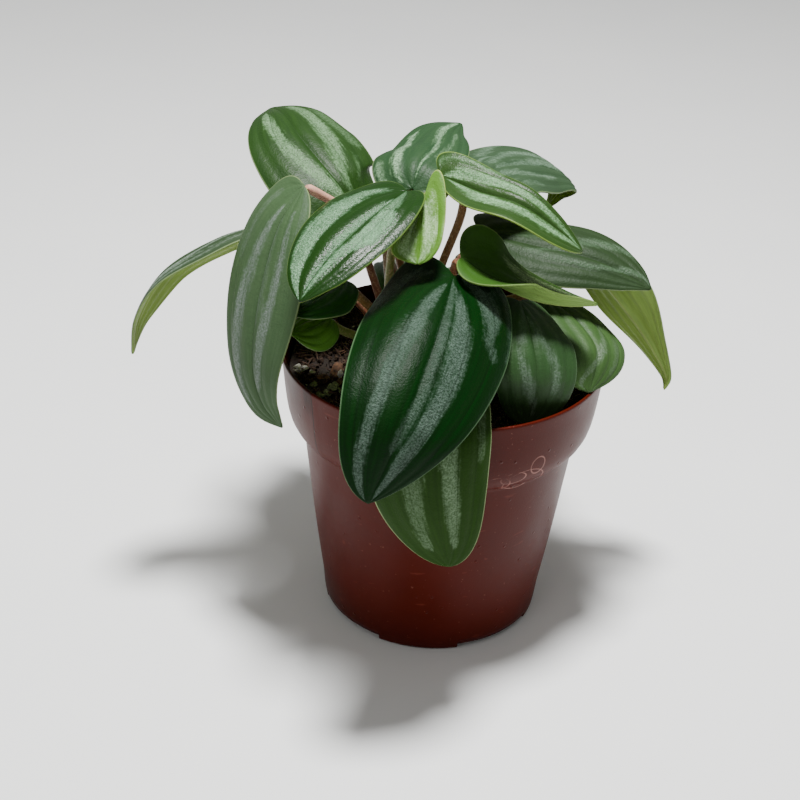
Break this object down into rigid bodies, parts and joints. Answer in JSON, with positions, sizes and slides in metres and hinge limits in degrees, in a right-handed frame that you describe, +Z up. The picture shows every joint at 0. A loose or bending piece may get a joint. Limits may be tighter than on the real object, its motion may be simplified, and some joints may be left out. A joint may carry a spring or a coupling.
{
  "type": "potted peperomia",
  "caption": "Small house plant with broad silver-striped leaves on reddish stalks, growing from dark potting mix in a thin round nursery pot.",
  "frame": {"origin": "centre of the pot's underside, on the surface it stands on", "axes": "+Z up along the pot's axis, +Y away from the viewer of the picture, +X to the right"},
  "size_m": [0.1792, 0.1525, 0.1602],
  "materials": {
    "pot_plastic": "satin moulded terracotta-red plastic",
    "potting_mix": "damp dark potting mix",
    "blade": "waxy green leaf with silver bands",
    "young_blade": "waxy light green young leaf",
    "petiole": "smooth reddish-brown stalk",
    "green_petiole": "smooth yellow-green stalk"
  },
  "bodies": {
    "root": {"pot": "pot_plastic", "soil": "potting_mix", "front_leaf": "blade", "front_leaf_petiole": "petiole", "low_front_leaf": "blade", "low_front_leaf_petiole": "petiole", "left_leaf": "blade", "left_leaf_petiole": "petiole", "glossy_leaf": "blade", "glossy_leaf_petiole": "green_petiole", "rear_left_leaf": "blade", "rear_left_leaf_petiole": "petiole", "rear_centre_leaf": "blade", "rear_centre_leaf_petiole": "petiole", "young_curled_leaf": "young_blade", "young_curled_leaf_petiole": "green_petiole", "young_channelled_leaf": "young_blade", "young_channelled_leaf_petiole": "green_petiole", "rear_right_leaf": "blade", "rear_right_leaf_petiole": "petiole", "right_leaf": "blade", "right_leaf_petiole": "petiole", "right_hanging_leaf": "blade", "right_hanging_leaf_petiole": "petiole", "twisted_leaf": "blade", "twisted_leaf_petiole": "petiole", "inner_right_leaf": "blade", "inner_right_leaf_petiole": "petiole", "rim_leaf": "blade", "rim_leaf_petiole": "petiole", "far_left_leaf": "blade", "far_left_leaf_petiole": "petiole", "shaded_leaf": "blade", "shaded_leaf_petiole": "petiole", "small_low_leaf": "blade", "small_low_leaf_petiole": "green_petiole", "back_left_leaf": "blade", "back_left_leaf_petiole": "petiole", "back_leaf": "blade", "back_leaf_petiole": "petiole", "back_right_leaf": "blade", "back_right_leaf_petiole": "petiole", "low_back_leaf": "blade", "low_back_leaf_petiole": "petiole"}
  },
  "joints": []
}
